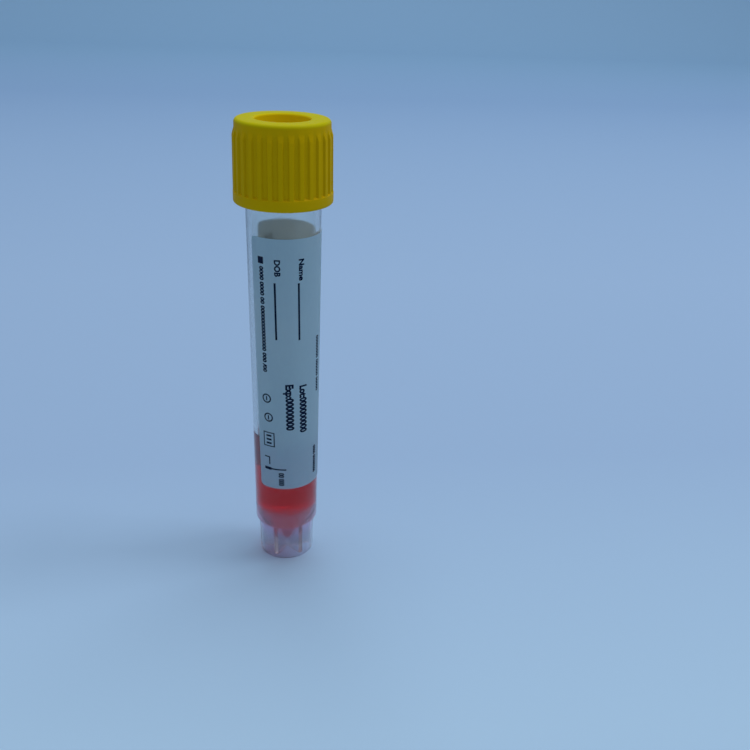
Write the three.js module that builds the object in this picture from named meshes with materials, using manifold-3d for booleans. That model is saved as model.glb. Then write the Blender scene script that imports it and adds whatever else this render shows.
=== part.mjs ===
// A self-standing screw-cap specimen tube: clear moulded tube, ribbed cap with a sealing plug,
// silicone ring, wrap label and transport medium. Millimetres, +Z up, origin at the middle of
// the foot, on the surface that the tube stands on. The front of the label faces -Y.

import * as THREE from 'three';
import { mergeVertices } from 'three/addons/utils/BufferGeometryUtils.js';
import Module from 'manifold-3d';

const wasm = await Module();
wasm.setup();

// ---------------------------------------------------------------- driving sizes

// Tube
const TUBE_LENGTH = 100;
const TUBE_NECK_DIAMETER = 15.84;
const TUBE_SHOULDER_DIAMETER = 14.57;
const TUBE_WALL = 1.0;
const SHOULDER_HEIGHT = 9.4;
const SHOULDER_ROUND = 0.45;
const CONE_TOP_HEIGHT = 14.5;
const CONE_TIP_HEIGHT = 3.5;
const CONE_TIP_ROUND = 1.2;
const CONE_WALL = 1.0;

// Skirt that the tube stands on, set in from the shoulder by a ledge
const SHOULDER_LEDGE = 0.735;
const SKIRT_DRAFT = 0.2;
const SKIRT_WALL = 0.95;
const SKIRT_EDGE_ROUND = 0.35;
const WEB_COUNT = 6;
const WEB_THICKNESS = 1.0;
const WEB_LIFT = 0.8;
const WEB_AZIMUTH = 34;

// Neck and thread
const NECK_HEIGHT = 12;
const NECK_STEP = 0.17;
const MOUTH_ROUND = 0.3;
const THREAD_DEPTH = 0.7;
const THREAD_STARTS = 2;
const THREAD_LEAD = 6;
const THREAD_TURNS = 1.1;
const THREAD_TOP_DISTANCE = 2.6;
const THREAD_CLEARANCE = 0.25;
const CAP_THREAD_DISTANCE = 2.7;

// Cap
const CAP_HEIGHT = 16.7;
const CAP_PLATE = 1.8;
const CAP_SHELL_WALL = 1.02;
const CAP_DRAFT = 0.2;
const CAP_RIM_ROUND = 0.8;
const CAP_EDGE_ROUND = 0.45;
const CAP_LEAD_IN = 0.5;
const RIB_COUNT = 30;
const RIB_HEIGHT = 0.41;
const RIB_ROUND = 0.7;
const RIB_PHASE = 3;
const RIB_TOP_DISTANCE = 1.7;
const BAND_HEIGHT = 2.0;

// Plug under the middle of the cap, hollow from above
const PLUG_WALL = 0.95;
const PLUG_DEPTH = 8.2;
const PLUG_FLOOR = 1.0;
const PLUG_DRAFT = 0.3;
const PLUG_BEAD_DEPTH = 3.6;
const PLUG_BEAD_HEIGHT = 0.25;
const PLUG_CLEARANCE = 0.07;
const RECESS_LIP_ROUND = 0.5;

// Sealing ring between the mouth and the cap
const RING_THICKNESS = 1.3;
const RING_CLEARANCE = 0.1;
const RING_OVERHANG = 0.2;
const RING_ROUND = 0.35;

// Label
const LABEL_WIDTH = 38.7;
const LABEL_THICKNESS = 0.1;
const LABEL_GLUE = 0.03;
const LABEL_ABOVE_SHOULDER = 11.45;
const LABEL_BELOW_CAP = 5.95;
const LABEL_START_AZIMUTH = -56;
const LABEL_LEAN = 0.75;

// Medium
const MEDIUM_DEPTH = 28.5;
const MEDIUM_CLEARANCE = 0.1;

// Roundness of the turned shapes
const ROUND_SIDES = 48;
const ARC_STEPS = 2;
const ROD_SIDES = 8;
const LABEL_COLUMNS = 48;
const LABEL_ROWS = 4;

// ---------------------------------------------------------------- sizes that follow

const neckRadius = TUBE_NECK_DIAMETER / 2;
const shoulderRadius = TUBE_SHOULDER_DIAMETER / 2;
const neckFoot = TUBE_LENGTH - NECK_HEIGHT;
const threadRootRadius = neckRadius - NECK_STEP;
const boreNeckRadius = neckRadius - TUBE_WALL;
const skirtTopRadius = shoulderRadius - SHOULDER_LEDGE;
const skirtFootRadius = skirtTopRadius - SKIRT_DRAFT;

const capPlateUnderside = TUBE_LENGTH + RING_THICKNESS + 2 * RING_CLEARANCE;
const capTop = capPlateUnderside + CAP_PLATE;
const capBottom = capTop - CAP_HEIGHT;
const capBoreRadius = threadRootRadius + THREAD_DEPTH + THREAD_CLEARANCE;
const capTopRadius = capBoreRadius + CAP_SHELL_WALL;
const bandTop = capBottom + BAND_HEIGHT;

const plugBeadRadius = boreNeckRadius - PLUG_CLEARANCE;
const plugRadius = plugBeadRadius - PLUG_BEAD_HEIGHT;
const plugBottom = capPlateUnderside - PLUG_DEPTH;
const recessTopRadius = plugRadius - PLUG_WALL;
const recessBottomRadius = recessTopRadius - PLUG_DRAFT;
const recessFloor = plugBottom + PLUG_FLOOR;

const threadRise = THREAD_LEAD * THREAD_TURNS;
const threadTop = TUBE_LENGTH - THREAD_TOP_DISTANCE;
const threadFoot = threadTop - threadRise;
const startSpacing = THREAD_LEAD / THREAD_STARTS;
const capThreadFoot = capBottom + CAP_THREAD_DISTANCE;

const labelBottom = SHOULDER_HEIGHT + LABEL_ABOVE_SHOULDER;
const labelTop = capBottom - LABEL_BELOW_CAP;
const labelMiddle = (labelBottom + labelTop) / 2;

const mediumTop = CONE_TIP_HEIGHT + MEDIUM_DEPTH;

function outerRadius(height) {
  const share = (height - SHOULDER_HEIGHT) / (neckFoot - SHOULDER_HEIGHT);
  return shoulderRadius + (neckRadius - shoulderRadius) * share;
}

function boreRadius(height) {
  return outerRadius(height) - TUBE_WALL;
}

// The cap's wall between the ribs.
function capRadius(height) {
  return capTopRadius + CAP_DRAFT * (capTop - height) / CAP_HEIGHT;
}

// Half-angle of the inner cone, measured from the axis.
const coneTopRadius = boreRadius(CONE_TOP_HEIGHT);
const coneAngle = Math.atan(coneTopRadius / (CONE_TOP_HEIGHT - CONE_TIP_HEIGHT));

// ---------------------------------------------------------------- outlines

const point = (radius, height) => new THREE.Vector2(radius, height);

// Points of an arc about (radius, height), from one angle to another in degrees.
function arc(radius, height, size, fromDegrees, toDegrees, steps = ARC_STEPS) {
  const points = [];
  for (let step = 0; step <= steps; step += 1) {
    const angle = THREE.MathUtils.degToRad(fromDegrees + (toDegrees - fromDegrees) * step / steps);
    points.push(point(radius + size * Math.cos(angle), height + size * Math.sin(angle)));
  }
  return points;
}

// A cone about the axis with a rounded tip: points from the tip on the axis to the given radius.
// offset moves the whole surface outwards, square to itself.
function coneOutline(endRadius, offset) {
  const round = CONE_TIP_ROUND + offset;
  const roundCentre = CONE_TIP_HEIGHT + CONE_TIP_ROUND / Math.sin(coneAngle) - CONE_TIP_ROUND;
  const slopeDegrees = -THREE.MathUtils.radToDeg(coneAngle);
  const tip = arc(0, roundCentre, round, -90, slopeDegrees);
  tip[0].x = 0;
  const last = tip[tip.length - 1];
  const endHeight = last.y + (endRadius - last.x) / Math.tan(coneAngle);
  return [...tip, point(endRadius, endHeight)];
}

// ---------------------------------------------------------------- solids

function toManifold(geometry) {
  const bare = geometry.clone();
  bare.deleteAttribute('normal');
  bare.deleteAttribute('uv');
  const merged = mergeVertices(bare);
  const index = merged.index.array;
  const triangles = [];
  for (let i = 0; i < index.length; i += 3) {
    const [a, b, c] = [index[i], index[i + 1], index[i + 2]];
    if (a !== b && b !== c && c !== a) {
      triangles.push(a, b, c);
    }
  }
  const vertProperties = new Float32Array(merged.attributes.position.array);
  const triVerts = new Uint32Array(triangles);
  return new wasm.Manifold(new wasm.Mesh({ numProp: 3, vertProperties, triVerts }));
}

function toGeometry(solid) {
  const mesh = solid.getMesh();
  const geometry = new THREE.BufferGeometry();
  geometry.setAttribute('position', new THREE.BufferAttribute(new Float32Array(mesh.vertProperties), 3));
  geometry.setIndex(new THREE.BufferAttribute(new Uint32Array(mesh.triVerts), 1));
  geometry.computeVertexNormals();
  return geometry;
}

// A turned solid about Z. The outline runs from the middle of the underside, up the outside.
function turned(outline) {
  const geometry = new THREE.LatheGeometry(outline, ROUND_SIDES);
  geometry.rotateX(Math.PI / 2);
  return toManifold(geometry);
}

// A right-handed helix about Z.
class ThreadPath extends THREE.Curve {
  constructor(radius, foot, startAngle) {
    super();
    this.radius = radius;
    this.foot = foot;
    this.startAngle = startAngle;
  }

  getPoint(t, target = new THREE.Vector3()) {
    const angle = this.startAngle + 2 * Math.PI * THREAD_TURNS * t;
    return target.set(
      this.radius * Math.cos(angle),
      this.radius * Math.sin(angle),
      this.foot + threadRise * t,
    );
  }
}

// One round-sided thread ridge, centred on the wall that it stands on. Its helix passes
// through angle 0 at the height zeroAt, so that two threads can run in step.
function threadRidge(radius, foot, zeroAt) {
  const section = new THREE.Shape();
  section.absarc(0, 0, THREAD_DEPTH, 0, 2 * Math.PI);
  const startAngle = 2 * Math.PI * (foot - zeroAt) / THREAD_LEAD;
  const geometry = new THREE.ExtrudeGeometry(section, {
    extrudePath: new ThreadPath(radius, foot, startAngle),
    steps: Math.ceil(ROUND_SIDES * THREAD_TURNS),
    curveSegments: ROD_SIDES,
    bevelEnabled: false,
  });
  return toManifold(geometry);
}

// ---------------------------------------------------------------- tube

function tubeBody() {
  const edge = SKIRT_EDGE_ROUND;
  return turned([
    point(0, 0),
    ...arc(skirtFootRadius - edge, edge, edge, -90, 0),
    point(skirtTopRadius, SHOULDER_HEIGHT),
    ...arc(shoulderRadius - SHOULDER_ROUND, SHOULDER_HEIGHT + SHOULDER_ROUND, SHOULDER_ROUND, -90, 0),
    point(neckRadius, neckFoot),
    point(threadRootRadius, neckFoot + NECK_STEP),
    ...arc(threadRootRadius - MOUTH_ROUND, TUBE_LENGTH - MOUTH_ROUND, MOUTH_ROUND, 0, 90),
    point(0, TUBE_LENGTH),
  ]);
}

function tubeBore() {
  const above = TUBE_LENGTH + 1;
  return turned([
    ...coneOutline(coneTopRadius, 0),
    point(boreRadius(neckFoot), neckFoot),
    point(boreNeckRadius, above),
    point(0, above),
  ]);
}

// The hollow inside the skirt, under the cone.
function skirtHollow() {
  const below = -1;
  const radius = skirtFootRadius - SKIRT_WALL;
  const roof = coneOutline(radius, CONE_WALL);
  return turned([
    point(0, below),
    point(radius, below),
    ...roof.reverse(),
  ]);
}

// Upright plates across the hollow. Each one gives two webs, on opposite sides of the axis.
function skirtWebs() {
  const plates = [];
  const height = CONE_TOP_HEIGHT - WEB_LIFT;
  for (let plate = 0; plate < WEB_COUNT / 2; plate += 1) {
    const geometry = new THREE.BoxGeometry(WEB_THICKNESS, 2 * skirtFootRadius, height);
    geometry.translate(0, 0, WEB_LIFT + height / 2);
    geometry.rotateZ(THREE.MathUtils.degToRad(WEB_AZIMUTH + plate * 360 / WEB_COUNT));
    plates.push(toManifold(geometry));
  }
  return plates.reduce((all, plate) => all.add(plate));
}

function tube() {
  let solid = tubeBody();
  for (let start = 0; start < THREAD_STARTS; start += 1) {
    solid = solid.add(threadRidge(threadRootRadius, threadFoot, threadFoot - start * startSpacing));
  }
  const hollow = skirtHollow().subtract(skirtWebs());
  return solid.subtract(hollow).subtract(tubeBore());
}

// ---------------------------------------------------------------- cap

// The band round the cap's lower edge stands as proud as the ribs.
function capBody() {
  const bandFootRadius = capRadius(capBottom) + RIB_HEIGHT;
  const rim = CAP_RIM_ROUND;
  const edge = CAP_EDGE_ROUND;
  const lip = RECESS_LIP_ROUND;
  return turned([
    point(0, plugBottom),
    point(plugRadius - PLUG_DRAFT - PLUG_BEAD_HEIGHT, plugBottom),
    point(plugRadius - PLUG_DRAFT, plugBottom + PLUG_BEAD_HEIGHT),
    point(plugBeadRadius, capPlateUnderside - PLUG_BEAD_DEPTH - PLUG_BEAD_HEIGHT),
    point(plugBeadRadius, capPlateUnderside - PLUG_BEAD_DEPTH + PLUG_BEAD_HEIGHT),
    point(plugRadius, capPlateUnderside - PLUG_BEAD_DEPTH + 3 * PLUG_BEAD_HEIGHT),
    point(plugRadius, capPlateUnderside),
    point(capBoreRadius, capPlateUnderside),
    point(capBoreRadius, capBottom + CAP_LEAD_IN),
    point(capBoreRadius + CAP_LEAD_IN, capBottom),
    ...arc(bandFootRadius - edge, capBottom + edge, edge, -90, 0),
    point(capRadius(bandTop) + RIB_HEIGHT, bandTop),
    point(capRadius(bandTop), bandTop + RIB_HEIGHT),
    ...arc(capTopRadius - rim, capTop - rim, rim, 0, 90),
    ...arc(recessTopRadius + lip, capTop - lip, lip, 90, 180),
    point(recessBottomRadius, recessFloor),
    point(0, recessFloor),
  ]);
}

// Upright grip ribs with domed upper ends: rounds sunk into the wall above the band.
function gripRibs() {
  const sunk = RIB_ROUND - RIB_HEIGHT;
  const domeReach = Math.sqrt(RIB_ROUND ** 2 - sunk ** 2);
  const top = capTop - RIB_TOP_DISTANCE - domeReach;
  const middle = (bandTop + top) / 2;
  const lean = Math.atan(CAP_DRAFT / CAP_HEIGHT);
  const ribs = [];
  for (let rib = 0; rib < RIB_COUNT; rib += 1) {
    const geometry = new THREE.CapsuleGeometry(RIB_ROUND, top - bandTop, 2, ROD_SIDES);
    geometry.rotateX(Math.PI / 2);
    geometry.rotateY(-lean);
    geometry.translate(capRadius(middle) - sunk, 0, middle);
    geometry.rotateZ(THREE.MathUtils.degToRad(RIB_PHASE + 360 * rib / RIB_COUNT));
    ribs.push(toManifold(geometry));
  }
  return ribs.reduce((all, rib) => all.add(rib));
}

// The cap's ridges run halfway between the tube's.
function cap() {
  let solid = capBody().add(gripRibs());
  for (let start = 0; start < THREAD_STARTS; start += 1) {
    solid = solid.add(threadRidge(capBoreRadius, capThreadFoot, threadFoot - (start + 0.5) * startSpacing));
  }
  return solid;
}

// ---------------------------------------------------------------- ring, label, medium

function sealRing() {
  const inner = plugRadius + RING_CLEARANCE;
  const outer = threadRootRadius + RING_OVERHANG;
  const bottom = TUBE_LENGTH + RING_CLEARANCE;
  const top = bottom + RING_THICKNESS;
  const round = RING_ROUND;
  const section = [
    ...arc(outer - round, bottom + round, round, -90, 0),
    ...arc(outer - round, top - round, round, 0, 90),
    ...arc(inner + round, top - round, round, 90, 180),
    ...arc(inner + round, bottom + round, round, 180, 270),
  ];
  return turned([...section, section[0].clone()]);
}

// A flat sheet bent round the tube: x runs along the wrap, y up the tube, z out of its surface.
function label() {
  const height = labelTop - labelBottom;
  const meanRadius = outerRadius(labelMiddle);
  const centreAzimuth = THREE.MathUtils.degToRad(LABEL_START_AZIMUTH) + LABEL_WIDTH / 2 / meanRadius;
  const lean = Math.tan(THREE.MathUtils.degToRad(LABEL_LEAN));
  const geometry = new THREE.BoxGeometry(
    LABEL_WIDTH, height, LABEL_THICKNESS, LABEL_COLUMNS, LABEL_ROWS, 1,
  );
  const position = geometry.attributes.position;
  for (let i = 0; i < position.count; i += 1) {
    const up = position.getY(i);
    const azimuth = centreAzimuth + (position.getX(i) - up * lean) / meanRadius;
    const level = labelMiddle + up;
    const radius = outerRadius(level) + LABEL_GLUE + LABEL_THICKNESS / 2 + position.getZ(i);
    position.setXYZ(i, radius * Math.sin(azimuth), -radius * Math.cos(azimuth), level);
  }
  return toManifold(geometry);
}

function medium() {
  const gap = MEDIUM_CLEARANCE;
  return turned([
    ...coneOutline(coneTopRadius - gap, -gap),
    point(boreRadius(mediumTop) - gap, mediumTop),
    point(0, mediumTop),
  ]);
}

// ---------------------------------------------------------------- assembly

function part(name, solid, colour, roughness, extra = {}) {
  const material = new THREE.MeshStandardMaterial({ color: colour, roughness, metalness: 0, ...extra });
  const mesh = new THREE.Mesh(toGeometry(solid), material);
  mesh.name = name;
  return mesh;
}

const group = new THREE.Group();
group.add(part('tube', tube(), 0xdfe9f0, 0.12, { transparent: true, opacity: 0.35 }));
group.add(part('cap', cap(), 0xe0c010, 0.45));
group.add(part('seal_ring', sealRing(), 0xe4e4de, 0.6));
group.add(part('label', label(), 0xf2f4f5, 0.55));
group.add(part('medium', medium(), 0xd8323c, 0.05, { transparent: true, opacity: 0.8 }));

export default group;
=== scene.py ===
"""Looks of the specimen swab tube: clear tube, ribbed screw cap, seal ring, label and medium."""

import math
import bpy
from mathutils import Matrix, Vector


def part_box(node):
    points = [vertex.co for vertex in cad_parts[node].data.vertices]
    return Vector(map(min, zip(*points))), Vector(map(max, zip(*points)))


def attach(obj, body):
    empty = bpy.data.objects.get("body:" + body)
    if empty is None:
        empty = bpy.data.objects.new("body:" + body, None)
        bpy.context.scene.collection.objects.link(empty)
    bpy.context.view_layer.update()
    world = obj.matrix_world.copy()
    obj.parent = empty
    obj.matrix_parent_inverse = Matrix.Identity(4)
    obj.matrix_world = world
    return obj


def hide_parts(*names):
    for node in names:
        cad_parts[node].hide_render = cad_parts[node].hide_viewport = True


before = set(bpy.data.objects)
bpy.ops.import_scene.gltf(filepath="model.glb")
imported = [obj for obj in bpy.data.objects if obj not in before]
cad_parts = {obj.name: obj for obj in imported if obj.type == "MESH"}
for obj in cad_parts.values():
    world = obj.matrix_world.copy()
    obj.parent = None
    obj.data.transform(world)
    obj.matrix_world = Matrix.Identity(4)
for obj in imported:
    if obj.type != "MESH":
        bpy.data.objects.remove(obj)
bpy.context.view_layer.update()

from types import SimpleNamespace

import bmesh
import bpy
from bpy.props import FloatProperty, FloatVectorProperty, IntProperty, PointerProperty
from mathutils import Matrix, Vector

bl_info = {
    "name": "Specimen Swab Tube",
    "version": (1, 0, 0),
    "blender": (4, 5, 0),
    "location": "3D View > Sidebar > Swab Tube",
    "description": "Builds a screw-cap specimen tube with its label and transport medium",
    "category": "Add Mesh",
}

MM = 0.001

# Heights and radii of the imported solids, which the pieces are built on.
TUBE_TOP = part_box("tube")[1].z
CAP_LOW, CAP_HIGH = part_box("cap")
CAP_BOTTOM, CAP_TOP, BAND_RADIUS = CAP_LOW.z, CAP_HIGH.z, CAP_HIGH.x
RING_LOW, RING_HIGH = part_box("seal_ring")
LABEL_BOTTOM, LABEL_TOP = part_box("label")[0].z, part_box("label")[1].z
MEDIUM_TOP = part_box("medium")[1].z


# ---------------------------------------------------------------- settings

def length(name, description, millimetres):
    return FloatProperty(name=name, description=description, default=millimetres * MM,
                         subtype="DISTANCE", unit="LENGTH", precision=5)


def angle(name, description, degrees):
    return FloatProperty(name=name, description=description, default=math.radians(degrees),
                         subtype="ANGLE", unit="ROTATION")


def colour(name, description, red, green, blue):
    return FloatVectorProperty(name=name, description=description, size=3, subtype="COLOR",
                               default=(linear(red), linear(green), linear(blue)), min=0, max=1)


def linear(level):
    """Scene-linear value of a display level from 0 to 255."""
    share = level / 255
    return share / 12.92 if share <= 0.04045 else ((share + 0.055) / 1.055) ** 2.4


class TubeSettings(bpy.types.PropertyGroup):
    neck_radius: length("Neck radius", "Outside radius where the neck begins", 7.92)
    shoulder_radius: length("Shoulder radius", "Outside radius above the skirt", 7.285)
    wall: length("Wall", "Thickness of the tube's wall", 1.0)
    neck_foot: length("Neck foot", "Height where the threaded neck begins", 88.0)
    neck_step: length("Neck step", "How far the threaded neck is set in", 0.17)
    shoulder_height: length("Shoulder height", "Height of the ledge over the skirt", 9.4)
    skirt_top_radius: length("Skirt top radius", "Outside radius of the skirt under the ledge", 6.55)
    skirt_foot_radius: length("Skirt foot radius", "Outside radius of the skirt at its foot", 6.35)
    skirt_wall: length("Skirt wall", "Thickness of the skirt at its foot", 0.95)
    cone_top: length("Cone top", "Height where the bore narrows to a cone", 14.5)
    cone_tip: length("Cone tip", "Height of the lowest point of the bore", 3.5)
    cone_tip_round: length("Cone tip round", "Radius of the rounded tip of the bore", 1.2)
    web_count: IntProperty(name="Webs", description="Upright webs under the cone", default=6, min=2)
    web_thickness: length("Web thickness", "Thickness of one web", 1.0)
    web_lift: length("Web lift", "How far the webs stay off the ground", 0.8)
    web_azimuth: angle("Web azimuth", "Direction of the first web", 34)
    tint: colour("Tint", "Colour of light that has passed one wall", 243, 247, 246)
    # Painted light: a pink glow of the red medium, painted into the plastic round the cone.
    cone_painted_glow: colour("Cone tint", "The same round the cone, where the medium glows in it", 255, 232, 255)
    # Painted light: painted shade with a faint pink glow of the medium, at the foot.
    foot_painted_shade_and_glow: colour("Foot tint", "The same at the foot", 230, 229, 235)
    cloud: FloatProperty(name="Cloud", description="How cloudy the plastic is, per metre",
                         default=38, min=0)


class ThreadSettings(bpy.types.PropertyGroup):
    depth: length("Depth", "How far the ridges stand out", 0.65)
    lead: length("Lead", "Rise in one turn", 6.0)
    starts: IntProperty(name="Starts", description="Ridges that run side by side", default=2, min=1)
    turns: FloatProperty(name="Turns", description="Turns of each ridge", default=1.1, min=0.1)
    neck_start: length("Neck start", "Height where the neck's ridges begin", 90.8)
    cap_start: length("Cap start", "Height where the cap's ridges begin", 89.3)
    crest: length("Crest", "Half width of a ridge's flat crest", 0.2)
    foot: length("Foot", "Half width of a ridge at its foot", 0.7)


class CapSettings(bpy.types.PropertyGroup):
    top_radius: length("Top radius", "Radius between the ribs at the top", 9.72)
    draft: length("Draft", "How much wider the wall is at the bottom", 0.2)
    bore_radius: length("Bore radius", "Inside radius of the skirt", 8.7)
    plate_underside: length("Plate underside", "Height of the top plate's underside", 101.5)
    plug_radius: length("Plug radius", "Radius of the plug under the plate", 6.6)
    plug_bead: length("Plug bead", "How far the sealing bead stands out", 0.25)
    plug_bead_height: length("Plug bead height", "Height of the sealing bead", 97.9)
    plug_draft: length("Plug draft", "How much narrower the plug is at its bottom", 0.3)
    plug_bottom: length("Plug bottom", "Height of the plug's underside", 93.3)
    recess_radius: length("Recess radius", "Radius of the hollow from above", 5.65)
    recess_floor: length("Recess floor", "Height of the floor of the hollow", 94.3)
    rim_round: length("Rim round", "Rounding of the upper edge", 0.8)
    edge_round: length("Edge round", "Rounding of the lower edge", 0.45)
    lip_round: length("Lip round", "Rounding into the hollow", 0.5)
    band_height: length("Band height", "Height of the plain band round the bottom", 2.3)
    rib_count: IntProperty(name="Ribs", description="Grip ribs round the cap", default=30, min=3)
    rib_azimuth: angle("Rib azimuth", "Direction of the first rib", 3)
    rib_crest: length("Rib crest", "Half width of a rib's crest", 0.36)
    rib_foot: length("Rib foot", "Half width of a rib at its foot", 0.66)
    rib_top: length("Rib top", "How far the ribs end below the top", 1.8)
    rib_slope: length("Rib slope", "Height of the slope at a rib's upper end", 1.5)
    plastic: colour("Plastic", "Colour of the cap's side", 205, 167, 1)
    # Painted sheen: the rim's greener colour stands in for the light from above that the rim reflects.
    rim_painted_sheen: colour("Rim plastic", "Colour of the cap's rim", 189, 181, 4)
    # Painted light: the hollow's paler, more orange colour stands in for light bounced round inside it.
    recess_painted_glow: colour("Recess plastic", "Colour of the hollow", 228, 201, 4)


class RingSettings(bpy.types.PropertyGroup):
    inner_radius: length("Inner radius", "Radius of the hole", 6.7)
    edge_round: length("Edge round", "Rounding of the edges", 0.35)
    silicone: colour("Silicone", "Colour of the ring", 214, 216, 210)


class LabelSettings(bpy.types.PropertyGroup):
    width: length("Width", "Length of the label round the tube", 38.7)
    thickness: length("Thickness", "Paper and face film", 0.1)
    bedding: length("Bedding", "Depth of the adhesive in the tube's surface", 0.03)
    corner_round: length("Corner round", "Radius of the label's corners", 1.0)
    start_azimuth: angle("Start azimuth", "Direction of the label's left edge", -53.5)
    lean: angle("Lean", "How far the label is stuck askew", 0.75)
    ink_thickness: length("Ink thickness", "Thickness of the print", 0.012)
    paper: colour("Paper", "Colour of the label's face", 188, 230, 255)
    adhesive: colour("Adhesive side", "Colour of the label's back", 238, 232, 218)
    ink: colour("Ink", "Colour of the print", 6, 22, 50)


class MediumSettings(bpy.types.PropertyGroup):
    bedding: length("Bedding", "Overlap with the tube's wall, for one clean boundary", 0.05)
    meniscus: length("Meniscus", "How far the surface climbs the wall", 0.9)
    absorption: FloatProperty(name="Absorption", description="Density of the dye, per metre",
                              default=850, min=0)
    dye: FloatVectorProperty(name="Dye", description="Colour that the dye lets through", size=3,
                             subtype="COLOR", default=(0.98, 0.05, 0.22), min=0, max=1)


class StageSettings(bpy.types.PropertyGroup):
    camera_place: FloatVectorProperty(name="Camera place", description="Where the camera stands",
                                      size=3, subtype="TRANSLATION", unit="LENGTH",
                                      default=(0, -0.17430, 0.12972))
    yaw: angle("Yaw", "Camera's turn to the right", 6.717)
    pitch: angle("Pitch", "Camera's tilt downwards", 25.385)
    roll: angle("Roll", "Camera's roll", 2.323)
    lens: FloatProperty(name="Lens", description="Focal length in millimetres", default=40.55,
                        subtype="DISTANCE_CAMERA")
    # The floor and backdrop colours darken towards the back as painted falloff of the light.
    near_floor: colour("Near floor", "Colour of the floor by the camera", 167, 197, 223)
    middle_floor: colour("Middle floor", "Colour of the floor behind the tube", 154, 181, 213)
    far_floor: colour("Far floor", "Colour of the floor further back", 134, 165, 201)
    backdrop: colour("Backdrop", "Colour of the backdrop", 134, 170, 202)
    lamp_tint: colour("Lamp tint", "Colour of the lamps", 250, 252, 255)
    sky_tint: colour("Sky tint", "Colour of the plain sky's light", 232, 244, 255)
    seen_sky: colour("Seen sky", "Colour of the plain sky where it is seen", 150, 178, 210)
    world_level: FloatProperty(name="World level", description="Strength of the plain sky",
                               default=0.36, min=0)
    overhead_level: FloatProperty(name="Overhead level", default=0.57, min=0,
                                  description="Overhead lamp's share of full light")
    key_level: FloatProperty(name="Key level", description="Right-hand lamp's share of full light",
                             default=0.17, min=0)


SETTINGS = {
    "tube": TubeSettings,
    "thread": ThreadSettings,
    "cap": CapSettings,
    "ring": RingSettings,
    "label": LabelSettings,
    "medium": MediumSettings,
    "stage": StageSettings,
}


def settings(name):
    """The values of one group of settings."""
    group = getattr(bpy.context.scene, "swab_tube_" + name)
    return SimpleNamespace(**{prop: getattr(group, prop) for prop in group.__annotations__})


# ---------------------------------------------------------------- turned shapes

TUBE_STEPS = 192
RING_STEPS = 96
RIB_STEPS = 16
MERGE = 1e-7


def draw_outline(bm, corners, closed=False):
    """Draws a turned piece's outline: corners of (radius, height, round, rows up to the next)."""
    verts = [bm.verts.new((radius, 0, height)) for radius, height, *_ in corners]
    ends = verts[1:] + verts[:1] if closed else verts[1:]
    edges = [bm.edges.new(pair) for pair in zip(verts, ends)]
    for edge, corner in zip(edges, corners):
        if len(corner) > 3:
            bmesh.ops.subdivide_edges(bm, edges=[edge], cuts=corner[3] - 1)
    for corner in corners:
        if len(corner) > 2 and corner[2]:
            round_corner(bm, (corner[0], 0, corner[1]), corner[2])


def round_corner(bm, place, radius, segments=6):
    """Rounds the outline's corner at a place."""
    vert = min(bm.verts, key=lambda vert: (vert.co - Vector(place)).length)
    one, other = ((edge.other_vert(vert).co - vert.co) for edge in vert.link_edges)
    reach = radius / math.tan(one.angle(other) / 2)
    bmesh.ops.bevel(bm, geom=[vert], offset=reach, offset_type="OFFSET", segments=segments,
                    profile=0.5, affect="VERTICES", material=-1)


def turn(bm, steps):
    """Turns the outline about Z into a closed skin whose faces point outwards."""
    bmesh.ops.spin(bm, geom=bm.verts[:] + bm.edges[:], cent=(0, 0, 0), axis=(0, 0, 1),
                   angle=math.tau, steps=steps, use_merge=True)
    bmesh.ops.remove_doubles(bm, verts=bm.verts[:], dist=MERGE)
    bmesh.ops.recalc_face_normals(bm, faces=bm.faces[:])


def turned(corners, steps, closed=False):
    bm = bmesh.new()
    draw_outline(bm, corners, closed)
    turn(bm, steps)
    return bm


def ramp(value, low, high):
    """0 at low, 1 at high, with a smooth change between them."""
    share = min(max((value - low) / (high - low), 0), 1)
    return share * share * (3 - 2 * share)


def move_out(vert, distance):
    radius = math.hypot(vert.co.x, vert.co.y)
    vert.co.x *= 1 + distance / radius
    vert.co.y *= 1 + distance / radius


def thread_height(vert, first, thread):
    """How far the thread's ridges stand out at a vertex."""
    turns_round = math.atan2(vert.co.y, vert.co.x) / math.tau
    best = 0
    for start in range(thread.starts):
        for lap in range(-1, 3):
            turn_share = turns_round - start / thread.starts + lap
            beyond_end = max(-turn_share, turn_share - thread.turns)
            ridge = first + thread.lead * turn_share
            across = abs(vert.co.z - ridge)
            side = 1 - ramp(across, thread.crest, thread.foot)
            end = 1 - ramp(beyond_end, -0.06, 0)
            best = max(best, thread.depth * side * end)
    return best


# ---------------------------------------------------------------- pieces

def new_object(name, bm):
    mesh = bpy.data.meshes.new(name)
    bm.to_mesh(mesh)
    bm.free()
    piece = bpy.data.objects.new(name, mesh)
    bpy.context.scene.collection.objects.link(piece)
    return piece


def finish_piece(piece, body, materials, replaces=None, sharp=35):
    piece.data.shade_smooth()
    piece.data.set_sharp_from_angle(angle=math.radians(sharp))
    for material in materials:
        piece.data.materials.append(material)
    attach(piece, body)
    if replaces:
        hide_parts(replaces)


def cut_away(piece, tool):
    """Takes the tool's shape out of a piece, and removes the tool."""
    cut = piece.modifiers.new("cut", "BOOLEAN")
    cut.operation = "DIFFERENCE"
    cut.solver = "EXACT"
    cut.object = tool
    depsgraph = bpy.context.evaluated_depsgraph_get()
    whole = piece.data
    piece.data = bpy.data.meshes.new_from_object(piece.evaluated_get(depsgraph))
    piece.modifiers.clear()
    piece.data.name = piece.name
    bpy.data.meshes.remove(whole)
    bpy.data.objects.remove(tool)


# ---------------------------------------------------------------- materials

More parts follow.
